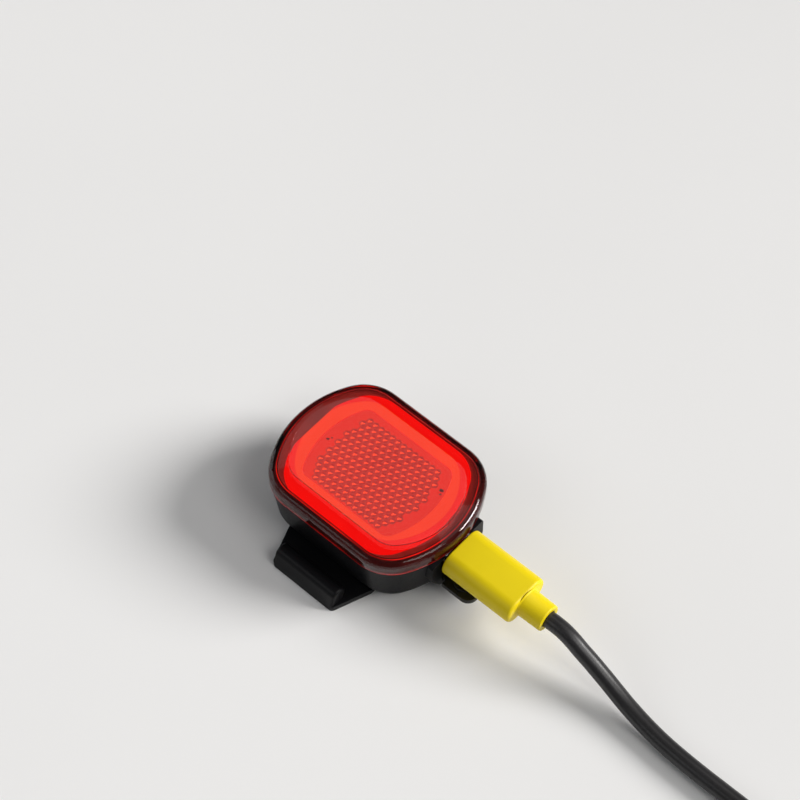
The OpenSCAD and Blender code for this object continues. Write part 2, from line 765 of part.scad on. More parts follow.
// Coil: turns of each of two layers, mean radius, gap between turns
layer_turns = 2.5;
coil_r = 14.6;
turn_gap = 0.5;
coil_pitch = cord_d + turn_gap;
layer_a = 360 * layer_turns;
coil_out = coil_r + coil_pitch * layer_turns / 2;
coil_at = [coil_from[0] + cord_d, coil_from[1] - coil_out];
function climb(a) = let(t = max(0, min(1, (a - layer_a + 90) / 180))) t * t * (3 - 2 * t);
function coil_point(a) =
  let(r = coil_out - coil_pitch * (a < layer_a ? a : 2 * layer_a - a) / 360)
  [coil_at[0] + r * sin(a), coil_at[1] + r * cos(a), coil_from[2] + coil_pitch * climb(a)];
coil_turns = [for (a = [0:15:2 * layer_a]) coil_point(a)];
coil_to = coil_turns[len(coil_turns) - 1] + [cord_d, 0, 0];
coil_route = concat([coil_from], coil_turns, [coil_to]);
// Least gap of the coil to itself, over points that are at least half a turn apart
coil_gap = min([for (i = [0:len(coil_turns) - 13]) for (j = [i + 12:len(coil_turns) - 1])
                norm(coil_turns[i] - coil_turns[j])]) - cord_d;
echo(least_gap_of_the_coil_to_itself = coil_gap);

module charging_cord() {
  color("#222222") tube(cord_route, cord_r, 10);
}
module charging_cord_coil() {
  color("#222222") tube(coil_route, cord_r, 6);
}

// Tail: from the coil down to the far plug, which lies on the resting plane
tail_drop_l = 10;
far_z = far_grip_h / 2 + loose;
tail_drop = coil_to[2] - far_z;
tail_bend = [for (t = [0:0.125:1])
             coil_to + [cord_d + tail_drop_l * t, 0, -tail_drop * t * t * (3 - 2 * t)]];
far_from = coil_to[0] + tail_drop_l + 2 * cord_d;
tail_route = concat([coil_to], tail_bend, [[far_from, coil_to[1], far_z]]);
module charging_cord_tail() {
  color("#222222") tube(tail_route, cord_r, 10);
}
module cord_tie() {
  tie_a = 70;
  tie_w = 6;
  tie_t = 0.5;
  slack = 0.05;
  room = 1.3;
  shift = 1.1;
  low = cord_r + slack;
  tall = coil_pitch + 2 * low;
  deep = 2 * coil_pitch + cord_d + room;
  mid = coil_out - coil_pitch - shift;
  color("#333333") translate([coil_at[0], coil_at[1], coil_from[2] - low]) rotate([0, 0, 90 - tie_a])
    translate([mid, tie_w / 2, tall / 2]) rotate([90, 0, 0]) linear_extrude(tie_w) difference() {
      square([deep + 2 * tie_t, tall + 2 * tie_t], center = true);
      square([deep, tall], center = true);
    }
}

// Far plug
far_shell_w = 12;
far_shell_h = 4.5;
far_shell_l = 12;
module along_far(from, length) {
  translate([from, coil_to[1], far_z]) rotate([90, 0, 90]) linear_extrude(length) children();
}
module usb_a_grip() {
  color("gold") along_far(far_from, far_grip_l) square([far_grip_w, far_grip_h], center = true);
}
module usb_a_shell() {
  color("silver") difference() {
    along_far(far_from + far_grip_l, far_shell_l) square([far_shell_w, far_shell_h], center = true);
    along_far(far_from + far_grip_l - over, far_shell_l + 2 * over)
      square([far_shell_w - 2 * shell_t, far_shell_h - 2 * shell_t], center = true);
  }
}
module usb_a_insert() {
  insert_h = 1.8;
  set_back = 1;
  lift = (far_shell_h - 2 * shell_t - insert_h) / 2;
  color("white") along_far(far_from + far_grip_l, far_shell_l - set_back)
    translate([0, lift]) square([far_shell_w - 2 * shell_t, insert_h], center = true);
}

front_lens();
lens_gasket();
light_shield();
light_diffuser();
reflector_panel();
circuit_board();
leds();
control_chip();
charge_chip();
capacitors();
board_screws();
usb_socket_shell();
usb_socket_tongue();
switch_body();
switch_plunger();
power_button();
battery_cell();
battery_board();
battery_pad();
battery_connector();
battery_leads();
rear_housing();
hook_plate();
grip_pad();
plate_screws();
port_cover();
usb_c_shell();
usb_c_contacts();
usb_c_grip();
strain_relief();
charging_cord();
charging_cord_coil();
charging_cord_tail();
cord_tie();
usb_a_grip();
usb_a_shell();
usb_a_insert();
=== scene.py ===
# Bicycle rear light with its charging cable: looks, floor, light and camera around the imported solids.
# Shapes are written in millimetres and scaled to metres when a mesh is made.
import json
import math

import bmesh
import bpy
from mathutils import Matrix, Vector


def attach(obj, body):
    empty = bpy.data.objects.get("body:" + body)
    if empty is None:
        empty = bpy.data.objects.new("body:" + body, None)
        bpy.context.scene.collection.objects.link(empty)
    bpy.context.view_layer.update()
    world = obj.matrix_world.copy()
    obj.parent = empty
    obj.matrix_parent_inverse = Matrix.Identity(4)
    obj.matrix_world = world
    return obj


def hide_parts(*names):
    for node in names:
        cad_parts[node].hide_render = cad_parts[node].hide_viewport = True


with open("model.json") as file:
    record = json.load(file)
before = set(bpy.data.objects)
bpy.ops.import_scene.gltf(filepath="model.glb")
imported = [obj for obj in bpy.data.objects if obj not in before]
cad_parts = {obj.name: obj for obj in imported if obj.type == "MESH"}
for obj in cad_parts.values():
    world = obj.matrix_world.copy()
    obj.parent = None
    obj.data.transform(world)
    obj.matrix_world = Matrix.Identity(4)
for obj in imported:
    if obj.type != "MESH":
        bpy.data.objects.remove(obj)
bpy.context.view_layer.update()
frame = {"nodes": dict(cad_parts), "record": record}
nodes = frame["nodes"]
MM = 0.001

# Sizes that are shared with the solids.
# An outline is its half length, half width, end radius and corner radius.
LENS = (24.1, 18.5, 25.6, 10.7)
FLAT = (20.7, 13.3, 16.4, 6.0)
GUIDE = (22.2, 18.5, 25.6, 10.7)
PANEL = (15.5, 11.2, 22.0, 2.6)
SHIELD_EDGE = -18.8
RIM_Z = 15.0
LENS_TOP = 19.8
PANEL_TOP, PANEL_UNDER = 18.2, 17.2
WALL_X = 21.2
PORT_Z = 12.0
PORT_FACE = 23.8
BUTTON_Z = 11.1
BUTTON_FACE, BUTTON_SEAT = -24.5, -21.1
HINGE = (22.5, 5.6)
BEAD_R, BEAD_HALF = 1.0, 5.0
COVER_DOWN, COVER_UP = 22, 10
PLATE_T, PAD_T = 1.6, 0.8
SCREWS = [(sx * 14.9, sy * 4.5) for sx in (-1, 1) for sy in (-1, 1)]
PLUG_FACE = 24.3
GRIP_END = 43.4
RELIEF_END = 49.7
GRIP_W, GRIP_H = 12.5, 6.9
RELIEF_R = 3.4

# How far a cutting piece goes past a surface, and past the whole light
OVER = 0.5
FAR = 30

# Edges sharper than the first angle are rounded, and those sharper than the second stay sharp in shading
EDGE_ANGLE, SHARP_ANGLE = 35, 40
LENS_SHARP, BUTTON_SHARP, PLUG_SHARP = 20, 50, 60
WELD_GAP = 0.002


# Meshes
def make(name, verts, faces):
    mesh = bpy.data.meshes.new(name)
    mesh.from_pydata([Vector(v) * MM for v in verts], [], faces)
    mesh.validate()
    obj = bpy.data.objects.new(name, mesh)
    bpy.context.scene.collection.objects.link(obj)
    return obj


def apply(obj):
    """Turns the modifiers of a piece into its mesh."""
    graph = bpy.context.evaluated_depsgraph_get()
    mesh = bpy.data.meshes.new_from_object(obj.evaluated_get(graph))
    obj.modifiers.clear()
    old = obj.data
    obj.data = mesh
    mesh.name = old.name
    bpy.data.meshes.remove(old)
    return obj


def combine(obj, other, operation):
    """Joins, cuts or intersects a piece with another, which is used up."""
    mod = obj.modifiers.new("combine", "BOOLEAN")
    mod.object = other
    mod.operation = operation
    mod.solver = "EXACT"
    apply(obj)
    bpy.data.objects.remove(other)
    return obj


def smooth(obj, angle=EDGE_ANGLE):
    for polygon in obj.data.polygons:
        polygon.use_smooth = True
    obj.data.set_sharp_from_angle(angle=math.radians(angle))
    return obj


def even_shading(obj):
    """Weighs the normals by face, so that flat faces look flat beside rounded edges."""
    even = obj.modifiers.new("even", "WEIGHTED_NORMAL")
    even.keep_sharp = True
    return apply(obj)


def soften(obj, width, segments):
    """Rounds the edges of a piece and evens out its shading."""
    weld = obj.modifiers.new("weld", "WELD")
    weld.merge_threshold = WELD_GAP * MM
    mod = obj.modifiers.new("round", "BEVEL")
    mod.width = width * MM
    mod.segments = segments
    mod.limit_method = "ANGLE"
    mod.angle_limit = math.radians(EDGE_ANGLE)
    mod.miter_outer = "MITER_ARC"
    apply(obj)
    smooth(obj, SHARP_ANGLE)
    return even_shading(obj)


def arc(x, y, r, start, end, first, steps):
    """Points of an arc between two angles, without the start where the first step is 1."""
    turns = [math.radians(start + (end - start) * k / steps) for k in range(first, steps + 1)]
    return [(x + r * math.cos(t), y + r * math.sin(t)) for t in turns]


def corner_at(s):
    """Centre of the corner's arc of a bulged rectangle."""
    return s[0] - s[2] + math.sqrt((s[2] - s[3]) ** 2 - (s[1] - s[3]) ** 2), s[1] - s[3]


def side(x, y, steps=12):
    """Points between the ends of a straight side."""
    return [(x - 2 * x * k / steps, y) for k in range(1, steps)]


def outline(s, inset, corner_steps=24, end_steps=20):
    """Bulged rectangle: half length, half width, end radius and corner radius, moved in by an inset."""
    cx, cy = corner_at(s)
    e, re, rc = s[0] - s[2], s[2] - inset, s[3] - inset
    t = math.degrees(math.asin(cy / (s[2] - s[3])))
    return (arc(e, 0, re, -t, t, 1, end_steps)
            + arc(cx, cy, rc, t, 90, 1, corner_steps)
            + side(cx, cy + rc)
            + arc(-cx, cy, rc, 90, 180 - t, 0, corner_steps)
            + arc(-e, 0, re, 180 - t, 180 + t, 1, end_steps)
            + arc(-cx, -cy, rc, 180 + t, 270, 1, corner_steps)
            + side(-cx, -cy - rc)
            + arc(cx, -cy, rc, 270, 360 - t, 0, corner_steps))


def ring(s, inset, z):
    return [(x, y, z) for x, y in outline(s, inset)]


def loft(name, rings, loop=False):
    """Skin over a chain of rings, closed by its end rings, or over a loop of rings."""
    n = len(rings[0])
    count = len(rings)
    faces = []
    for r in range(count if loop else count - 1):
        a, b = r * n, (r + 1) % count * n
        faces += [(a + k, a + (k + 1) % n, b + (k + 1) % n, b + k) for k in range(n)]
    if not loop:
        faces += [tuple(reversed(range(n))), tuple(range((count - 1) * n, count * n))]
    obj = make(name, [p for r in rings for p in r], faces)
    return outward(obj)


def outward(obj):
    bm = bmesh.new()
    bm.from_mesh(obj.data)
    bmesh.ops.recalc_face_normals(bm, faces=bm.faces)
    bm.to_mesh(obj.data)
    bm.free()
    return obj


def prism(name, points, start, end, axis):
    """Polygon run along an axis; its two numbers are the other two axes, in the order X, Y, Z."""
    def place(p, h):
        return {"x": (h, p[0], p[1]), "y": (p[0], h, p[1]), "z": (p[0], p[1], h)}[axis]
    return loft(name, [[place(p, start) for p in points], [place(p, end) for p in points]])


def rounded(w, h, r, x=0.0, y=0.0, steps=6):
    """Rectangle with round corners; a stadium where the radius is half of a side."""
    a, b = w / 2 - r, h / 2 - r
    return (arc(x + a, y + b, r, 0, 90, 0, steps) + arc(x - a, y + b, r, 90, 180, 0, steps)
            + arc(x - a, y - b, r, 180, 270, 0, steps) + arc(x + a, y - b, r, 270, 360, 0, steps))


def stadium(w, h, x=0.0, y=0.0, steps=14):
    return rounded(w, h, h / 2 - 0.001, x, y, steps)


def blunt(points, r, steps=5):
    """Polygon with its corners rounded."""
    out = []
    for k, point in enumerate(points):
        p = Vector(point)
        a = p + (Vector(points[k - 1]) - p).normalized() * r
        b = p + (Vector(points[(k + 1) % len(points)]) - p).normalized() * r
        for s in range(steps + 1):
            t = s / steps
            out.append(tuple(a * (1 - t) ** 2 + p * 2 * t * (1 - t) + b * t ** 2))
    return out


def slab(name, x, y, z):
    """Block between two numbers on each axis."""
    return prism(name, [(x[0], y[0]), (x[1], y[0]), (x[1], y[1]), (x[0], y[1])], z[0], z[1], "z")


# Pieces run along X: each level is its place and how far its section is drawn in
def along_x(name, section, levels, z=PORT_Z):
    return loft(name, [[(x, y, z + h) for y, h in section(inset)] for x, inset in levels])


def rounding(x, r, side, steps=8):
    """Levels of a rounded end: side is -1 where the piece starts and 1 where it ends."""
    turns = [math.radians(90 * k / steps) for k in range(steps + 1)]
    levels = [(x - side * r * (1 - math.sin(t)), r * (1 - math.cos(t))) for t in turns]
    return levels if side > 0 else list(reversed(levels))


def circle(r, steps=48):
    turns = [2 * math.pi * k / steps for k in range(steps)]
    return [(r * math.cos(t), r * math.sin(t)) for t in turns]


# Materials
def material(name):
    mat = bpy.data.materials.new(name)
    mat.use_nodes = True
    tree = mat.node_tree
    return mat, tree, tree.nodes["Principled BSDF"]


def noise(tree, scale, detail, stretch=(1, 1, 1)):
    """Noise in the piece's own space, in metres."""
    place = tree.nodes.new("ShaderNodeTexCoord")
    mapping = tree.nodes.new("ShaderNodeMapping")
    mapping.inputs["Scale"].default_value = stretch
    tree.links.new(place.outputs["Object"], mapping.inputs["Vector"])
    node = tree.nodes.new("ShaderNodeTexNoise")
    node.inputs["Scale"].default_value = scale
    node.inputs["Detail"].default_value = detail
    tree.links.new(mapping.outputs["Vector"], node.inputs["Vector"])
    return node.outputs["Fac"]


def ramp(tree, factor, low, high, start=0.35, end=0.65):
    node = tree.nodes.new("ShaderNodeValToRGB")
    node.color_ramp.elements[0].position = start
    node.color_ramp.elements[1].position = end
    node.color_ramp.elements[0].color = (*low, 1)
    node.color_ramp.elements[1].color = (*high, 1)
    tree.links.new(factor, node.inputs["Fac"])
    return node.outputs["Color"]


def spread(tree, factor, low, high):
    node = tree.nodes.new("ShaderNodeMapRange")
    node.inputs["From Min"].default_value = 0.3
    node.inputs["From Max"].default_value = 0.7
    node.inputs["To Min"].default_value = low
    node.inputs["To Max"].default_value = high
    tree.links.new(factor, node.inputs["Value"])
    return node.outputs["Result"]


def bump(tree, shader, height, strength, depth):
    node = tree.nodes.new("ShaderNodeBump")
    node.inputs["Strength"].default_value = strength
    node.inputs["Distance"].default_value = depth * MM
    tree.links.new(height, node.inputs["Height"])
    tree.links.new(node.outputs["Normal"], shader.inputs["Normal"])


# Scale of the slow drift of a colour, and how far the gloss drifts either way
MOULD_DRIFT, GLOW_DRIFT = 60, 90
GLOSS_LESS, GLOSS_MORE = 0.05, 0.06


def moulded(name, colour, rough, grain=2500, strength=0.25, drift=0.12, depth=0.03, coat=0.0, metal=0.0,
            shine=0.5):
    """Moulding whose colour and gloss drift a little, with a fine grain."""
    mat, tree, shader = material(name)
    slow = noise(tree, MOULD_DRIFT, 4)
    fine = noise(tree, grain, 2)
    low = tuple(c * (1 - drift) for c in colour)
    high = tuple(min(1.0, c * (1 + drift)) for c in colour)
    tree.links.new(ramp(tree, slow, low, high), shader.inputs["Base Color"])
    gloss = spread(tree, fine, rough - GLOSS_LESS, rough + GLOSS_MORE)
    tree.links.new(gloss, shader.inputs["Roughness"])
    shader.inputs["Metallic"].default_value = metal
    shader.inputs["Coat Weight"].default_value = coat
    shader.inputs["Specular IOR Level"].default_value = shine
    bump(tree, shader, fine, strength, depth)
    return mat


def glowing(name, low, high, rough, colour):
    """Lit plastic: the glow drifts slowly over the piece."""
    mat, tree, shader = material(name)
    slow = noise(tree, GLOW_DRIFT, 2)
    tree.links.new(ramp(tree, slow, low, high), shader.inputs["Emission Color"])
    shader.inputs["Emission Strength"].default_value = 1.0
    shader.inputs["Base Color"].default_value = (*colour, 1)
    shader.inputs["Roughness"].default_value = rough
    shader.inputs["Specular IOR Level"].default_value = 0.05
    return mat


def clear_plastic():
    """Clear cap with a smoky red tint that grows with its thickness."""
    mat, tree, shader = material("clear_polycarbonate")
    shader.inputs["Base Color"].default_value = (0.99, 0.97, 0.97, 1)
    shader.inputs["Transmission Weight"].default_value = 1.0
    shader.inputs["IOR"].default_value = 1.585
    shader.inputs["Specular Tint"].default_value = (0.6, 0.6, 0.6, 1)
    tree.links.new(spread(tree, noise(tree, 500, 3), 0.0, 0.02), shader.inputs["Roughness"])
    smoke = tree.nodes.new("ShaderNodeVolumeAbsorption")
    smoke.inputs["Color"].default_value = (0.72, 0.25, 0.25, 1)
    smoke.inputs["Density"].default_value = 220
    tree.links.new(smoke.outputs["Volume"], tree.nodes["Material Output"].inputs["Volume"])
    return mat


def brushed(name, colour, rough, stretch):
    """Plated metal with fine lines along one axis."""
    mat, tree, shader = material(name)
    lines = noise(tree, 900, 3, stretch)
    low = tuple(c * 0.88 for c in colour)
    tree.links.new(ramp(tree, lines, low, colour), shader.inputs["Base Color"])
    tree.links.new(spread(tree, lines, rough - 0.06, rough + 0.1), shader.inputs["Roughness"])
    shader.inputs["Metallic"].default_value = 1.0
    bump(tree, shader, lines, 0.15, 0.01)
    return mat


def woven(name, colour):
    """Hook-and-loop tape: two crossed waves of yarn under a fuzz."""
    mat, tree, shader = material(name)
    place = tree.nodes.new("ShaderNodeTexCoord")
    waves = []
    for direction in ("X", "Z"):
        wave = tree.nodes.new("ShaderNodeTexWave")
        wave.bands_direction = direction
        wave.inputs["Scale"].default_value = 700
        wave.inputs["Distortion"].default_value = 1.5
        tree.links.new(place.outputs["Object"], wave.inputs["Vector"])
        waves.append(wave.outputs["Fac"])
    cross = tree.nodes.new("ShaderNodeMath")
    cross.operation = "MULTIPLY"
    tree.links.new(waves[0], cross.inputs[0])
    tree.links.new(waves[1], cross.inputs[1])
    low = tuple(c * 0.6 for c in colour)
    tree.links.new(ramp(tree, cross.outputs[0], low, colour, 0.1, 0.8), shader.inputs["Base Color"])
    shader.inputs["Roughness"].default_value = 0.9
    shader.inputs["Sheen Weight"].default_value = 0.4
    bump(tree, shader, cross.outputs[0], 0.6, 0.15)
    return mat


# Glows: both ends of the drift, roughness and unlit colour.
# Mouldings: colour, roughness, scale and strength of the grain, then the drift of the colour and the rest.
LENS_CLEAR = clear_plastic()
GLOW = glowing("red_glow", (0.96, 0.001, 0.0), (1.01, 0.002, 0.0), 0.35, (0.08, 0.002, 0.002))
# Painted reflection: a paler, warmer red glow for the light reflected on the lens's flat
PAINTED_REFLECTION_GLOW = glowing("painted_reflection_glow", (1.02, 0.040, 0.003), (1.07, 0.044, 0.003), 0.35, (0.08, 0.004, 0.002))
# Painted glow: red lines on the clear lens's foot and inner chamfer, standing in for the guide's light
# scattered and reflected in the lens
PAINTED_EDGE_GLOW = glowing("lens_painted_edge_glow", (0.25, 0.002, 0.001), (0.95, 0.008, 0.002), 0.3, (0.10, 0.004, 0.003))
# Painted shade: a dark red colour on the clear lens's hollow and foot stands in for the shade under its rim
# and the red glow scattered there
PAINTED_RIM_SHADE = moulded("painted_rim_shade", (0.10, 0.011, 0.009), 0.5, 2600, 0.16, shine=0.1)
PLATE_GLOW = glowing("reflector_base", (0.84, 0.014, 0.003), (0.89, 0.018, 0.004), 0.3,
                     (0.08, 0.004, 0.003))
CELL_BASE = glowing("reflector_web", (0.60, 0.022, 0.011), (0.65, 0.026, 0.013), 0.3, (0.06, 0.004, 0.003))
# Painted shade: a darker glow for two of a cell's three facets, by their direction
CELL_PAINTED_SHADE = glowing("reflector_painted_shade", (0.46, 0.014, 0.009), (0.51, 0.018, 0.011), 0.3, (0.06, 0.004, 0.003))
# Painted glint: a bright glow standing in for the glints of the cube corners
PAINTED_GLINT = glowing("reflector_painted_glint", (1.40, 0.085, 0.020), (1.60, 0.100, 0.024), 0.3, (0.10, 0.004, 0.003))
SPECK = moulded("reflector_pit", (0.14, 0.010, 0.008), 0.6, 900, 0.4, shine=0.1)
# Painted glow: the black light shield is coloured red-brown for the red light scattered onto it in the lens
PAINTED_GLOW_SHIELD = moulded("shield_painted_red_glow", (0.55, 0.040, 0.026), 0.5, 2600, 0.16, shine=0.2)
BLACK = moulded("black_moulding", (0.007, 0.007, 0.008), 0.36, 2600, 0.16, shine=0.08)
HOOK = moulded("black_hook_moulding", (0.007, 0.007, 0.008), 0.32, 3200, 0.14, shine=0.14)
RUBBER = moulded("black_rubber", (0.012, 0.012, 0.012), 0.55, 3500, 0.2, 0.2, shine=0.35)
YELLOW = moulded("yellow_moulding", (0.80, 0.62, 0.003), 0.42, 3200, 0.10, 0.03, shine=0.3)
CORD = moulded("cord_jacket", (0.020, 0.019, 0.020), 0.36, 2600, 0.14, 0.15)
STEEL = brushed("plated_steel", (0.66, 0.66, 0.67), 0.22, (0.15, 1, 1))
TIE = woven("tie_tape", (0.03, 0.03, 0.032))
SLOTS = {
    "black_plastic": BLACK,
    "black_hook": HOOK,
    "black_rubber": RUBBER,
    "yellow_plastic": YELLOW,
    "cord_black": CORD,
    "steel": STEEL,
    "tie_black": TIE,
    "clear_lens": LENS_CLEAR,
    "red_glow": GLOW,
    "red_reflector": PLATE_GLOW,
    "white_board": moulded("solder_mask_white", (0.72, 0.73, 0.70), 0.35, 900, 0.1, 0.05),
    "led_body": moulded("led_moulding", (0.85, 0.78, 0.45), 0.25, 1200, 0.1, 0.08, coat=0.5),
    "chip_black": moulded("chip_moulding", (0.02, 0.02, 0.021), 0.6, 1800, 0.3),
    "capacitor_tan": moulded("capacitor_ceramic", (0.32, 0.20, 0.10), 0.45, 1500, 0.2),
    "contact_black": moulded("contact_carrier", (0.02, 0.02, 0.02), 0.5, 2000, 0.2),
    "switch_grey": moulded("switch_moulding", (0.06, 0.06, 0.065), 0.5, 2000, 0.2),
    "switch_white": moulded("plunger_moulding", (0.70, 0.70, 0.70), 0.45, 2000, 0.2),
    "battery_foil": moulded("battery_pouch", (0.55, 0.57, 0.60), 0.35, 400, 0.4, 0.08, 0.08, metal=0.9),
    "board_green": moulded("solder_mask_green", (0.01, 0.09, 0.03), 0.35, 900, 0.1),
    "foam_grey": moulded("foam", (0.10, 0.10, 0.10), 0.9, 1500, 0.8, 0.2, 0.15),
    "connector_ivory": moulded("connector_moulding", (0.70, 0.64, 0.48), 0.5, 1800, 0.2),
    "lead_red": moulded("lead_jacket", (0.45, 0.01, 0.01), 0.4, 1800, 0.15),
    "insert_white": moulded("insert_moulding", (0.72, 0.72, 0.70), 0.5, 1800, 0.2),
}


def dress(obj, body, slot, *replaced):
    """Gives a piece the material of its slot and its body, and hides the solids that it stands for."""
    obj.data.materials.clear()
    obj.data.materials.append(SLOTS[slot])
    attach(obj, body)
    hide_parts(*replaced)
    return obj


# Lens: closed cap with an upright skirt, a rounded edge, a shoulder and a flat top.
# Its hollow and its foot are listed as insets from the outline, the hollow's with heights.
HOLLOW = ((3.0, 18.4), (2.25, 18.4), (2.02, 18.3), (1.84, 18.12), (1.7, 17.98), (1.6, 17.75),
          (1.6, RIM_Z + 0.05))
FOOT = (1.55, 0.98, 0.74, 0.42, 0.15)
FOOT_EDGE = ((0.04, RIM_Z + 0.04), (0, RIM_Z + 0.15))
SKIRT_TOP = RIM_Z + 2.3
EDGE_R, EDGE_TURN = 1.6, 72
STEP_OUT, STEP_DOWN = 0.03, 0.12
SHOULDER_SHARES = (0.08, 0.3, 0.6, 0.93)
# Bands of faces between the rings that glow as painted red lines, for the guide's light scattered in the
# clear lens; the rest of the hollow and the foot gets a painted dark red shade
PAINTED_RED_LINES = (2, len(HOLLOW) + 1, len(HOLLOW) + 3)
PAINTED_SHADE_END = len(HOLLOW) + len(FOOT)


def lens():
    def between(a, b, share):
        return [tuple(p + (q - p) * share for p, q in zip(u, v)) for u, v in zip(a, b)]
    turns = [math.radians(t) for t in range(0, EDGE_TURN + 1, 6)]
    edge = [ring(LENS, EDGE_R * (1 - math.cos(t)), SKIRT_TOP + EDGE_R * math.sin(t)) for t in turns]
    shoulder = edge[-1]
    step = ring(FLAT, -STEP_OUT, LENS_TOP - STEP_DOWN)
    rings = [ring(LENS, inset, z) for inset, z in HOLLOW]
    rings += [ring(LENS, inset, RIM_Z) for inset in FOOT]
    rings += [ring(LENS, inset, z) for inset, z in FOOT_EDGE]
    rings += edge
    rings += [between(shoulder, step, share) for share in SHOULDER_SHARES]
    rings += [step, ring(FLAT, STEP_OUT, LENS_TOP)]
    obj = loft("lens_cap", rings)
    smooth(obj, LENS_SHARP)
    dress(even_shading(obj), "root", "clear_lens", "front_lens")
    # The bands of red lines get the painted glow, and the rest of the hollow and the foot get the painted
    # dark red shade
    obj.data.materials.append(PAINTED_EDGE_GLOW)
    obj.data.materials.append(PAINTED_RIM_SHADE)
    for polygon in obj.data.polygons:
        band = polygon.index // len(shoulder)
        if band in PAINTED_RED_LINES:
            polygon.material_index = 1
        elif 0 < band < PAINTED_SHADE_END:
            polygon.material_index = 2


# Light guide: its top glows warmer where it is seen through the flat of the lens, a painted reflection of the
# light on the flat
PAINTED_REFLECTION_ZONE = (18.9, 13.3, 16.4, 6.0)
PAINTED_REFLECTION_AT = (-0.4, 0.45)


def light_guide():
    top, base, web = PANEL_TOP, 14.58, 16.6
    outer, inner = 2.4, 3.6
    gap, ledge_in = 0.1, 0.8
    reflection_edge = [(x + PAINTED_REFLECTION_AT[0], y + PAINTED_REFLECTION_AT[1], z) for x, y, z in ring(PAINTED_REFLECTION_ZONE, 0, top)]
    rings = [ring(GUIDE, outer, base), ring(GUIDE, outer, top - 0.4), ring(GUIDE, outer + 0.12, top - 0.12),
             ring(GUIDE, outer + 0.4, top), reflection_edge]
    rings += [ring(PANEL, -gap, top), ring(PANEL, -gap, PANEL_UNDER), ring(PANEL, ledge_in, PANEL_UNDER),
              ring(PANEL, ledge_in, web), ring(GUIDE, inner, web), ring(GUIDE, inner, base)]
    obj = loft("light_guide", rings, loop=True)
    combine(obj, slab("cut", (-FAR, SHIELD_EDGE + gap), (-FAR, FAR), (10, FAR)), "DIFFERENCE")
    dress(smooth(obj), "root", "red_glow", "light_diffuser")
    obj.data.materials.append(PAINTED_REFLECTION_GLOW)
    for polygon in obj.data.polygons:
        x, y, z = polygon.center / MM
        if z > top - 0.01 and inside(PAINTED_REFLECTION_ZONE, x - PAINTED_REFLECTION_AT[0], y - PAINTED_REFLECTION_AT[1]):
            polygon.material_index = 1


# Reflector: a plate whose middle is covered in cube corners on a hexagonal lattice, with painted shade on
# their facets and a painted glint on each cell
PITCH = 1.67
CELL_STEP = 0.16
CELL_LIFT = 0.005
ROWS, COLUMNS = 13, 18
LATTICE = (12.6, 10.4, 22.0, 2.0)
LATTICE_AT = (0.1, -0.3)
# A rhomb's direction, and how far its facet is drawn in on the long and the short way
FACETS = ((90, 0.2, 0.2), (210, 0.5, 0.28), (330, 0.2, 0.2))
# Pits: the place and the size of each
PITS = ((13.7, 5.8, 0.5), (14.2, 4.9, 0.25), (-14.0, -0.9, 0.35), (-13.5, -0.1, 0.22))
# Painted glint of a cell: a short wave of bright glow, along and across a line that is turned by an angle
PAINTED_GLINT_TURN = 41.7
PAINTED_GLINT_WAVE = ((-0.50, -0.06), (-0.36, 0.18), (-0.08, 0.30), (0.12, 0.14), (0.30, 0.02), (0.52, 0.05),
              (0.48, -0.12), (0.26, -0.24), (0.04, -0.16), (-0.20, -0.20), (-0.42, -0.26))
# Materials of the three facets (painted shade on two of them), the web, the pits and the painted glints, in
# the order of their kinds
CELL_LOOKS = (CELL_PAINTED_SHADE, CELL_BASE, CELL_PAINTED_SHADE, CELL_BASE, SPECK, PAINTED_GLINT)
WEB_KIND, PIT_KIND, PAINTED_GLINT_KIND = 3, 4, 5


def inside(s, x, y):
    """True where a point lies within a bulged rectangle."""
    points = outline(s, 0, 8, 8)
    hit = False
    for (ax, ay), (bx, by) in zip(points, points[1:] + points[:1]):
        if (ay > y) != (by > y) and x < (bx - ax) * (y - ay) / (by - ay) + ax:
            hit = not hit
    return hit


def cube_corner(cx, cy, z):
    """Three rhombs of a cell, each as an inner facet and the four web faces round it."""
    radius = PITCH / math.sqrt(3)

    def corner(degrees, height):
        t = math.radians(degrees)
        return Vector((cx + radius * math.cos(t), cy + radius * math.sin(t), z + height))
    middle = Vector((cx, cy, z))
    half = CELL_STEP / 2
    for kind, (turn, long_share, short_share) in enumerate(FACETS):
        rhomb = [middle, corner(turn - 60, half), corner(turn, CELL_STEP), corner(turn + 60, half)]
        centre = sum(rhomb, Vector()) / 4
        shares = (short_share, long_share, short_share, long_share)
        yield kind, rhomb + [p.lerp(centre, share) for p, share in zip(rhomb, shares)]


def painted_glint(cx, cy, z):
    """Outline of a cell's painted glint."""
    t = math.radians(PAINTED_GLINT_TURN)
    c, s = math.cos(t), math.sin(t)
    return [(cx + a * c - b * s, cy + a * s + b * c, z) for a, b in PAINTED_GLINT_WAVE]


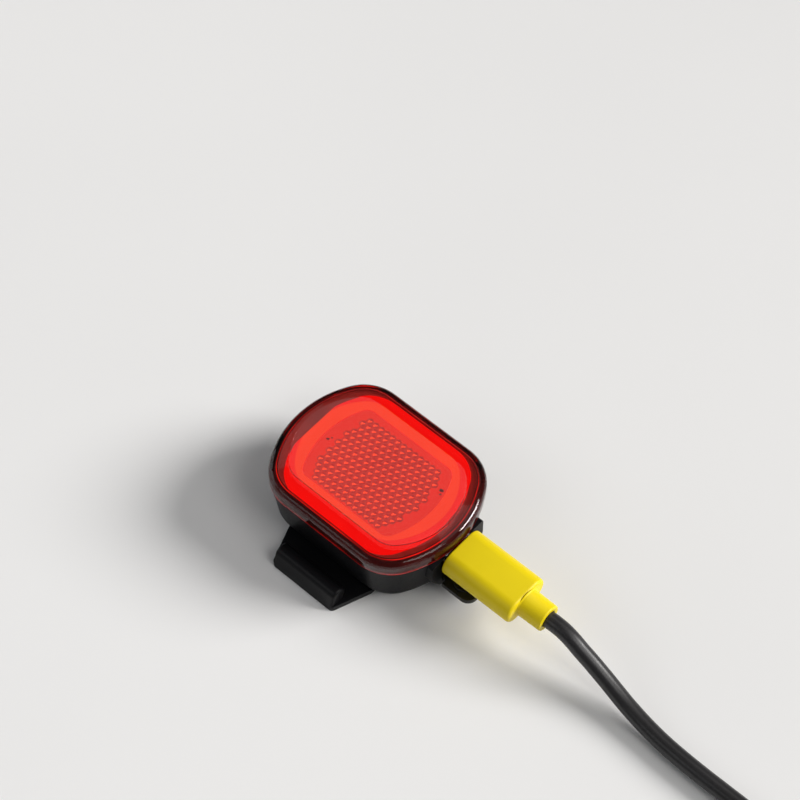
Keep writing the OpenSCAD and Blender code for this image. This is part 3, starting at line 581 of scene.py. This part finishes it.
def reflector():
    top, edge = PANEL_TOP, 0.12
    levels = ((0, PANEL_UNDER), (0, top - edge), (edge, top))
    plate = loft("reflector", [ring(PANEL, inset, z) for inset, z in levels])
    smooth(plate)
    dress(plate, "root", "red_reflector", "reflector_panel")
    verts, faces, kinds = [], [], []
    floor_z = top + CELL_LIFT
    row = PITCH * math.sqrt(3) / 2
    for j in range(-ROWS, ROWS + 1):
        for i in range(-COLUMNS, COLUMNS + 1):
            cx, cy = (i + j / 2) * PITCH, j * row
            if not inside(LATTICE, cx - LATTICE_AT[0], cy - LATTICE_AT[1]):
                continue
            base = len(verts)
            verts += painted_glint(cx, cy, floor_z + CELL_STEP)
            faces.append(tuple(range(base, len(verts))))
            kinds.append(PAINTED_GLINT_KIND)
            for kind, points in cube_corner(cx, cy, floor_z):
                base = len(verts)
                verts += points
                faces.append((base + 4, base + 5, base + 6, base + 7))
                kinds.append(kind)
                for k in range(4):
                    n = (k + 1) % 4
                    faces.append((base + k, base + n, base + 4 + n, base + 4 + k))
                    kinds.append(WEB_KIND)
    uneven = 0.3
    turns = [math.radians(t) for t in range(0, 360, 40)]
    for x, y, r in PITS:
        base = len(verts)
        verts += [(x + r * math.cos(t) * (1 + uneven * math.sin(3 * t + x)),
                   y + r * math.sin(t) * (1 + uneven * math.cos(2 * t + y)), floor_z) for t in turns]
        faces.append(tuple(range(base, len(verts))))
        kinds.append(PIT_KIND)
    cells = make("reflector_cells", verts, faces)
    for mat in CELL_LOOKS:
        cells.data.materials.append(mat)
    for polygon, kind in zip(cells.data.polygons, kinds):
        polygon.material_index = kind
    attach(cells, "root")


# Housing: cup with leaning walls, the port's boss at one end and the button's at the other.
# Its foot is rounded; the rest is listed as insets from the lens outline, with heights.
CUP_INSET, CUP_BASE, CUP_R = 1.4, 0.8, 4.5
CUP_RIM = ((0.225, 14.8), (0.26, 14.93), (0.36, RIM_Z), (1.2, RIM_Z))
CUP_INSIDE = ((1.2, 14.2), (2.1, 14.2), (4.92, 2.6))
PORT_BOSS = ((8.5, 14.1), (-8.5, 14.1), (-8.5, 8.5), (-5.6, 3.7), (5.6, 3.7), (8.5, 8.5))
PORT_BOSS_R = 0.8
PORT_HOLE, PORT_BACK = (9.21, 3.36), 15.8
PORT_MOUTH, MOUTH_DEPTH = (11.01, 5.16), 0.6
BUTTON_BOSS, BOSS_R, BOSS_Z, BOSS_FACE = (12.6, 6.3), 1.6, 10.95, -23.6
BUTTON_HOLE, HOLE_X = (9.2, 4.4), (-26, -19)
FLANGE_ROOM, FLANGE_X = (11.2, 4.4), (-WALL_X, -18.2)
PLATE_ROOM, PLATE_INSET = 5.1, 5.2
WING_SLOT = 12.6


def hinge_groove():
    """Section of the groove for the cover's bead, open towards the port's side over the cover's swing."""
    x, z = HINGE
    depth, mouth, room = 1.8, 0.6, 0.05
    points = arc(x, z, BEAD_R + room, 44, 306, 0, 24)
    points.append((x + depth, z - mouth - depth * math.tan(math.radians(COVER_DOWN))))
    points.append((x + depth, z + mouth + depth * math.tan(math.radians(COVER_UP))))
    return points


def housing():
    rings = []
    for t in range(0, 91, 6):
        a = math.radians(t)
        rings.append(ring(LENS, CUP_INSET + CUP_R * (1 - math.sin(a)), CUP_BASE + CUP_R * (1 - math.cos(a))))
    rings += [ring(LENS, inset, z) for inset, z in CUP_RIM + CUP_INSIDE]
    obj = loft("housing_shell", rings)
    button_boss = rounded(*BUTTON_BOSS, BOSS_R, 0, BOSS_Z)
    combine(obj, prism("boss", blunt(PORT_BOSS, PORT_BOSS_R), WALL_X, PORT_FACE, "x"), "UNION")
    combine(obj, prism("boss", button_boss, BOSS_FACE, -WALL_X, "x"), "UNION")
    groove_half = BEAD_HALF + 0.1
    cuts = (
        (stadium(*PORT_HOLE, 0, PORT_Z), PORT_BACK, FAR, "x"),
        (stadium(*PORT_MOUTH, 0, PORT_Z), PORT_FACE - MOUTH_DEPTH, FAR, "x"),
        (hinge_groove(), -groove_half, groove_half, "y"),
        (stadium(*BUTTON_HOLE, 0, BUTTON_Z), *HOLE_X, "x"),
        (stadium(*FLANGE_ROOM, 0, BUTTON_Z), *FLANGE_X, "x"),
        (outline(LENS, PLATE_ROOM), -OVER, PLATE_T, "z"),
    )
    for points, start, end, axis in cuts:
        combine(obj, prism("cut", points, start, end, axis), "DIFFERENCE")
    across = (-LENS[1], LENS[1])
    combine(obj, slab("cut", (-WING_SLOT, WING_SLOT), across, (-OVER, PLATE_T)), "DIFFERENCE")
    soften(obj, 0.16, 2)
    dress(obj, "root", "black_plastic", "rear_housing")


# Back plate with its two hooks: a wing that narrows outwards carries the rolled edge
HOOK_Y = 25.4
ROLL_Y, ROLL_Z, ROLL_R = 22.6, 3.55, 2.05
WING_HALF, WING_ROOT, WING_IN = 9.3, 12.5, 11.3
WING_START_Y, WING_BEND_Y, WING_CORNER = 10.8, 15.96, 1.2
ROLL_HALF, ROLL_EDGE, ROLL_LOW = 8.9, 0.6, 0.4
FOOT_Z = 0.8
SEAM_HALF, SEAM_DEPTH, SEAM_LOW = 0.15, 0.12, 1.9


def hook_roll(inset, low):
    """Section of the roll and its leaning outer face from a low end up, drawn in by an inset."""
    r = ROLL_R - inset
    face = HOOK_Y - inset
    foot = [(ROLL_Y - r * math.cos(math.radians(45)), low), (face - 0.05, low), (face, FOOT_Z)]
    return foot + arc(ROLL_Y, ROLL_Z, r, 20, 225, 0, 30)


def hook(turn):
    """Hook of the far side, turned about Z: wing, roll with rounded ends, and the seam across its middle."""
    edge = [(WING_ROOT, WING_START_Y), (WING_ROOT, WING_BEND_Y)]
    edge += arc(WING_HALF - WING_CORNER, HOOK_Y - WING_CORNER, WING_CORNER, 20, 90, 0, 6)
    plan = edge + [(-x, y) for x, y in reversed(edge)]
    wing = [(WING_IN, 0), (HOOK_Y, 0), (HOOK_Y, FOOT_Z), (HOOK_Y - 0.25, PLATE_T), (WING_IN, PLATE_T)]
    obj = prism("hook", wing, -FAR, FAR, "x")
    combine(obj, prism("plan", plan, -1, 8, "z"), "INTERSECT")
    levels = rounding(-ROLL_HALF, ROLL_EDGE, -1) + rounding(ROLL_HALF, ROLL_EDGE, 1)
    roll = [[(x, *p) for p in hook_roll(inset, ROLL_LOW)] for x, inset in levels]
    combine(obj, loft("roll", roll), "UNION")
    seam = prism("seam", hook_roll(-OVER, SEAM_LOW), -SEAM_HALF, SEAM_HALF, "x")
    combine(seam, prism("core", hook_roll(SEAM_DEPTH, 1.0), -1, 1, "x"), "DIFFERENCE")
    combine(obj, seam, "DIFFERENCE")
    obj.data.transform(Matrix.Rotation(math.radians(turn), 4, "Z"))
    return obj


# Back plate: half length and half width of the pad's recess
PAD_ROOM = (12.1, 9.6)
# Countersunk hole: heights and radii
SCREW_HOLE = ((-OVER, 1.85), (0, 1.85), (0.9, 0.95), (2.2, 0.95))


def strap_plate():
    obj = prism("strap_plate", outline(LENS, PLATE_INSET), 0, PLATE_T, "z")
    for turn in (0, 180):
        combine(obj, hook(turn), "UNION")
    across, deep = PAD_ROOM
    combine(obj, slab("cut", (-across, across), (-deep, deep), (-OVER, PAD_T)), "DIFFERENCE")
    for x, y in SCREWS:
        rings = [[(x + a, y + b, z) for a, b in circle(r, 36)] for z, r in SCREW_HOLE]
        combine(obj, loft("cut", rings), "DIFFERENCE")
    soften(obj, 0.18, 2)
    dress(obj, "root", "black_hook", "hook_plate")


# Cover of the port: a bead in its groove, a neck, a plate and a hollow rib that fits the port's mouth
FLAP_HALF, FLAP_TIP, FLAP_R = 6.2, 32.6, 2.5
FLAP_START = PORT_FACE + 0.75
FLAP_UNDER, FLAP_TOP = 1.0, 0.4
NECK_HALF, NECK_END = 4.8, PORT_FACE + 1.2
RIB_OUT, RIB_IN, RIB_AT, RIB_TOP = (10.41, 4.56), (9.01, 3.16), 5.8, 1.2


def cover_flap():
    x, z = HINGE
    bead = [(x + a, z + b) for a, b in circle(BEAD_R, 30)]
    obj = prism("cover_flap", bead, -BEAD_HALF, BEAD_HALF, "y")
    neck = slab("neck", (x, NECK_END), (-NECK_HALF, NECK_HALF), (z - FLAP_TOP, z + FLAP_TOP))
    combine(obj, neck, "UNION")
    corner_x, corner_y = FLAP_TIP - FLAP_R, FLAP_HALF - FLAP_R
    plan = [(FLAP_START, -FLAP_HALF)] + arc(corner_x, -corner_y, FLAP_R, 270, 360, 0, 10)
    plan += arc(corner_x, corner_y, FLAP_R, 0, 90, 0, 10) + [(FLAP_START, FLAP_HALF)]
    combine(obj, prism("plate", plan, z - FLAP_UNDER, z + FLAP_TOP, "z"), "UNION")

    def rib_plan(size):
        return [(x + RIB_AT + b, a) for a, b in stadium(*size)]
    rib = prism("rib", rib_plan(RIB_OUT), z, z + RIB_TOP, "z")
    combine(rib, prism("cut", rib_plan(RIB_IN), z - 1, z + 2, "z"), "DIFFERENCE")
    combine(obj, rib, "UNION")
    soften(obj, 0.2, 3)
    dress(obj, "port_cover", "black_rubber", "port_cover")


# Plug: the radii of the grip's two ends, and both ends of the round relief,
# as places from the end of the grip or of the relief, and insets
GRIP_START_R, GRIP_END_R = 0.45, 0.8
RELIEF_BASE = ((-0.4, 0.2), (0.02, -0.32), (0.12, -0.12), (0.32, 0.0))
RELIEF_LIP = ((-0.35, 0.1), (-0.12, 0.16), (-0.02, 0.3), (0, 0.45), (0, 1.2), (-0.06, 1.3), (-0.5, 1.39))


def plug():
    def grip_section(inset):
        return stadium(GRIP_W - 2 * inset, GRIP_H - 2 * inset, 0, 0, 20)
    levels = rounding(PLUG_FACE, GRIP_START_R, -1) + rounding(GRIP_END, GRIP_END_R, 1)
    grip = smooth(along_x("plug_grip", grip_section, levels), PLUG_SHARP)
    dress(grip, "charging_cable", "yellow_plastic", "usb_c_grip")

    def relief_section(inset):
        return circle(RELIEF_R - inset)
    levels = [(GRIP_END + d, inset) for d, inset in RELIEF_BASE]
    levels += [(RELIEF_END + d, inset) for d, inset in RELIEF_LIP]
    relief = smooth(along_x("plug_relief", relief_section, levels), PLUG_SHARP)
    dress(relief, "charging_cable", "yellow_plastic", "strain_relief")
    return grip, relief


# Cable: the route's points are the solids' own.
# A step is its distance from the relief on X, its place on Y and the share of the drop that is left.
CORD_R = 2.0
CORD_Z = 2.6
STEPS = [(0, 0, 1), (3.4, 0, 1), (6.4, -0.1, 0.925), (9.4, -0.25, 0.777), (12.1, -0.3, 0.638),
         (14.9, -0.4, 0.489), (17.8, -0.6, 0.351), (20.8, -0.95, 0.234), (23.8, -1.35, 0.143),
         (27.8, -1.85, 0.063), (31.8, -2.3, 0.019), (36, -2.65, 0), (41, -2.9, 0), (46, -3, 0),
         (51, -3, 0), (56, -3, 0), (61, -3, 0), (66, -3, 0), (72.3, -3, 0)]
COIL_PITCH = 4.5
LAYER_TURNS = 2.5
COIL_R = 14.6
COIL_OUT = COIL_R + COIL_PITCH * LAYER_TURNS / 2
COIL_STEP = 5
FAR_Z = 4.0
TAIL_DROP, TAIL_STEPS = 10.0, 16
TIE_TURN = 20


def ease(t):
    """Smooth step from 0 to 1."""
    t = max(0.0, min(1.0, t))
    return t * t * (3 - 2 * t)


def through(points, steps=4):
    """Smooth curve through points."""
    out = []
    for k in range(len(points) - 1):
        p = [Vector(points[max(0, min(len(points) - 1, k + d))]) for d in (-1, 0, 1, 2)]
        for s in range(steps):
            t = s / steps
            square = (2 * p[0] - 5 * p[1] + 4 * p[2] - p[3]) * t ** 2
            cube = (3 * p[1] - p[0] - 3 * p[2] + p[3]) * t ** 3
            out.append(0.5 * (2 * p[1] + (p[2] - p[0]) * t + square + cube))
    return out + [Vector(points[-1])]


def cable_route():
    """Drop from the plug, two layers of coil (in and then out again) and the tail; also the coil's middle."""
    drop = [(RELIEF_END + d, y, CORD_Z + share * (PORT_Z - CORD_Z)) for d, y, share in STEPS]
    route = through(drop)
    start = route[-1]
    at = (start.x + 2 * CORD_R, start.y - COIL_OUT)
    layer = 360 * LAYER_TURNS
    for a in range(0, int(2 * layer) + 1, COIL_STEP):
        r = COIL_OUT - COIL_PITCH * (a if a < layer else 2 * layer - a) / 360
        rise = COIL_PITCH * ease((a - layer + 90) / 180)
        t = math.radians(a)
        route.append(Vector((at[0] + r * math.sin(t), at[1] + r * math.cos(t), CORD_Z + rise)))
    last = route[-1] + Vector((2 * CORD_R, 0, 0))
    for k in range(TAIL_STEPS + 1):
        t = k / TAIL_STEPS
        route.append(last + Vector((2 * CORD_R + TAIL_DROP * t, 0, (FAR_Z - last.z) * ease(t))))
    route.append(Vector((last.x + TAIL_DROP + 4 * CORD_R, last.y, FAR_Z)))
    return route, at


def cable():
    route, at = cable_route()
    curve = bpy.data.curves.new("cable", "CURVE")
    curve.dimensions = "3D"
    curve.bevel_depth = CORD_R * MM
    curve.bevel_resolution = 7
    curve.use_fill_caps = True
    spline = curve.splines.new("POLY")
    spline.points.add(len(route) - 1)
    for point, p in zip(spline.points, route):
        point.co = (*(p * MM), 1)
    spline.use_smooth = True
    obj = bpy.data.objects.new("cable", curve)
    bpy.context.scene.collection.objects.link(obj)
    dress(obj, "charging_cable", "cord_black", "charging_cord", "charging_cord_coil", "charging_cord_tail")
    length = sum((b - a).length for a, b in zip(route, route[1:])) * MM
    return obj, length, route[-1], at


def coil_tie(at):
    """Tape round the turns of both layers of the coil, with its loose end lapped on the outside."""
    wide, tall, thick, half, corner = 14.3, 8.6, 0.5, 3.0, 1.9
    middle = COIL_OUT - COIL_PITCH - 1.1
    centre_z = tall / 2 + CORD_Z - CORD_R - 0.05
    inner = rounded(wide, tall, corner, 0, 0, 8)
    outer = rounded(wide + 2 * thick, tall + 2 * thick, corner + thick, 0, 0, 8)
    rings = []
    for width, section in ((-half, inner), (-half, outer), (half, outer), (half, inner)):
        rings.append([(middle + a, width, b + centre_z) for a, b in section])
    obj = loft("coil_tie", rings, loop=True)
    face = wide / 2 + thick
    lap_in, lap_out = face - 0.05, face + 0.45
    lap = [(lap_in, -2.4), (lap_out, -2.2), (lap_out, 2.6), (lap_in, 2.8)]
    lap_half = half - 0.3
    flap = prism("flap", [(middle + a, b + centre_z) for a, b in lap], -lap_half, lap_half, "y")
    combine(obj, flap, "UNION")
    place = Matrix.Translation(Vector((at[0], at[1], 0)) * MM)
    obj.data.transform(place @ Matrix.Rotation(math.radians(TIE_TURN), 4, "Z"))
    soften(obj, 0.12, 2)
    return dress(obj, "charging_cable", "tie_black", "cord_tie")


def far_plug(end):
    """USB-A plug along X at the far end: grip with notched sides, sheet shell with windows."""
    x, y, z = end
    grip_l, grip_w, grip_h, grip_r = 20.0, 15.6, 7.8, 2.2
    grip_start_r, grip_end_r = 0.9, 0.5
    rib_start, rib_pitch, rib_w, rib_half = 6.0, 2.2, 1.1, 2.6
    rib_floor, rib_out = 7.1, 8.4
    shell_l, shell_w, shell_h, sheet = 12.0, 12.0, 4.5, 0.3
    window_at, window_half, window_from, window_to = 2.9, 1.1, 5.2, 7.4

    def grip_section(inset):
        return rounded(grip_w - 2 * inset, grip_h - 2 * inset, grip_r, y, 0, 8)
    levels = rounding(x, grip_start_r, -1) + rounding(x + grip_l, grip_end_r, 1)
    grip = along_x("far_grip", grip_section, levels, z)
    for side in (-1, 1):
        for k in range(4):
            d = x + rib_start + rib_pitch * k
            sides = sorted((y + side * rib_floor, y + side * rib_out))
            combine(grip, slab("cut", (d, d + rib_w), sides, (z - rib_half, z + rib_half)), "DIFFERENCE")
    soften(grip, 0.2, 2)
    dress(grip, "charging_cable", "yellow_plastic", "usb_a_grip")
    start = x + grip_l
    shell = prism("far_shell", rounded(shell_w, shell_h, 0.6, y, z), start, start + shell_l, "x")
    hollow = rounded(shell_w - 2 * sheet, shell_h - 2 * sheet, 0.35, y, z)
    combine(shell, prism("cut", hollow, start + 0.5, start + shell_l + 1, "x"), "DIFFERENCE")
    for side in (-1, 1):
        middle = y + side * window_at
        window = (middle - window_half, middle + window_half)
        cut = slab("cut", (start + window_from, start + window_to), window, (z - 4, z + 4))
        combine(shell, cut, "DIFFERENCE")
    soften(shell, 0.06, 2)
    dress(shell, "charging_cable", "steel", "usb_a_shell")
    return grip, shell


def button():
    """Cap with a shallow dish in its face, a flange behind the wall and a stem that meets the switch."""
    cap_w, flange_w, cap_h, stem_r = 9.0, 11.0, 4.2, 1.2
    flange_end, stem_start, stem_end = -20.3, -20.4, -19.4
    dish = [(BUTTON_FACE + 0.2, 1.0), (BUTTON_FACE + 0.14, 0.86), (BUTTON_FACE + 0.02, 0.72)]

    def cap_section(inset):
        return stadium(cap_w - 2 * inset, cap_h - 2 * inset, 0, 0, 16)
    levels = dish + rounding(BUTTON_FACE, 0.6, -1)[1:] + [(BUTTON_SEAT, 0.0)]
    cap = along_x("button_cap", cap_section, levels, BUTTON_Z)
    flange = prism("flange", stadium(flange_w, cap_h, 0, BUTTON_Z), BUTTON_SEAT, flange_end, "x")
    combine(cap, flange, "UNION")
    stem = [(a, b + BUTTON_Z) for a, b in circle(stem_r)]
    combine(cap, prism("stem", stem, stem_start, stem_end, "x"), "UNION")
    smooth(cap, BUTTON_SHARP)
    dress(cap, "power_button", "black_rubber", "power_button")


def grip_ribs():
    """Pad in the back plate, with four grooves."""
    half_x, half_y, pitch, groove_half, depth = 12, 9.5, 3.8, 0.5, 0.35
    obj = slab("grip_ribs", (-half_x, half_x), (-half_y, half_y), (0, PAD_T))
    for k in (-1.5, -0.5, 0.5, 1.5):
        y = k * pitch
        cut = slab("cut", (-half_x - 1, half_x + 1), (y - groove_half, y + groove_half), (-OVER, depth))
        combine(obj, cut, "DIFFERENCE")
    soften(obj, 0.12, 2)
    dress(obj, "root", "black_rubber", "grip_pad")


# Countersunk screw: heights and radii
SCREW = ((0.0, 1.70), (0.06, 1.8), (0.9, 0.9), (4.0, 0.9))
CROSS_DEPTH = 0.55


def plate_screws():
    """Four countersunk screws with a cross recess."""
    first = None
    for x, y in SCREWS:
        rings = [[(x + r * a, y + r * b, z) for a, b in circle(1, 28)] for z, r in SCREW]
        screw = loft("plate_screw_set", rings)
        for w, l in ((0.2, 1.0), (1.0, 0.2)):
            cross = slab("cut", (x - w, x + w), (y - l, y + l), (-OVER, CROSS_DEPTH))
            combine(screw, cross, "DIFFERENCE")
        first = combine(first, screw, "UNION") if first else screw
    soften(first, 0.04, 2)
    dress(first, "root", "steel", "plate_screws")


lens()
light_guide()
reflector()
housing()
strap_plate()
cover_flap()
grip, relief = plug()
cord, cord_length, cord_end, coil_at = cable()
tie = coil_tie(coil_at)
far_grip, far_shell = far_plug(cord_end)
button()
grip_ribs()
plate_screws()

# Solids that stay in view get the material of their slot, and the shield gets its own, a red-brown that is
# painted red glow over its black
for part in frame["record"]["subparts"]:
    obj = nodes[part["node"]]
    if obj.hide_render:
        continue
    obj.data.materials.clear()
    if part["node"] == "light_shield":
        obj.data.materials.append(PAINTED_GLOW_SHIELD)
    else:
        obj.data.materials.append(SLOTS[part["material_slot"]])


# Floor, light and camera
FLOOR_HALF = 20000
FLOOR_LOW, FLOOR_HIGH = (0.84, 0.84, 0.84), (0.86, 0.86, 0.86)


def floor():
    corners = [(x * FLOOR_HALF, y * FLOOR_HALF, 0) for x, y in ((-1, -1), (1, -1), (1, 1), (-1, 1))]
    obj = make("floor", corners, [(0, 1, 2, 3)])
    mat, tree, shader = material("pale_floor")
    colour = ramp(tree, noise(tree, 6, 2), FLOOR_LOW, FLOOR_HIGH)
    tree.links.new(colour, shader.inputs["Base Color"])
    shader.inputs["Roughness"].default_value = 0.7
    obj.data.materials.append(mat)


def aim(lamp, at, power, colour):
    """Puts a lamp in its place, facing the origin."""
    lamp.energy = power
    lamp.color = colour
    obj = bpy.data.objects.new(lamp.name, lamp)
    bpy.context.scene.collection.objects.link(obj)
    obj.location = at
    obj.rotation_mode = "QUATERNION"
    obj.rotation_quaternion = (-Vector(at)).to_track_quat("-Z", "Y")


def softbox(name, at, size, power, colour):
    lamp = bpy.data.lights.new(name, "AREA")
    lamp.shape = "RECTANGLE"
    lamp.size, lamp.size_y = size
    aim(lamp, at, power, colour)


def soft_sun(name, at, angle, power, colour):
    lamp = bpy.data.lights.new(name, "SUN")
    lamp.angle = math.radians(angle)
    aim(lamp, at, power, colour)


floor()
# Lamps: place in metres, size in metres or the sun's width in degrees, power and colour
soft_sun("key", (0.96, 0.90, 0.72), 26, 3.7, (1.0, 0.98, 0.96))
softbox("overhead", (0.0, 0.50, 1.03), (1.4, 0.42), 1.2, (1.0, 0.98, 0.95))
softbox("left", (-1.05, -0.35, 0.45), (1.0, 0.7), 2.4, (0.98, 0.99, 1.0))
softbox("near", (-0.42, -0.80, 0.72), (0.7, 0.5), 1.2, (0.98, 0.99, 1.0))
softbox("fill", (0.72, 0.03, 0.95), (0.5, 0.5), 3.0, (1.0, 0.99, 0.97))
world = bpy.data.worlds.new("studio")
bpy.context.scene.world = world
world.use_nodes = True
world.node_tree.nodes["Background"].inputs["Color"].default_value = (0.95, 0.97, 1.0, 1)
world.node_tree.nodes["Background"].inputs["Strength"].default_value = 0.06

# Camera fitted to the outline of the lens in the photo
camera = bpy.data.cameras.new("camera")
camera.sensor_width = 36
camera.lens = 108
camera_obj = bpy.data.objects.new("camera", camera)
bpy.context.scene.collection.objects.link(camera_obj)
axes = Matrix(((0.7464, -0.5563, 0.3653), (0.6655, 0.6239, -0.4097), (0.0, 0.5489, 0.8359)))
camera_obj.rotation_mode = "QUATERNION"
camera_obj.rotation_quaternion = axes.to_quaternion()
camera_obj.location = (0.18866, -0.20406, 0.47091)
bpy.context.scene.camera = camera_obj
bpy.context.scene.view_settings.view_transform = "Standard"
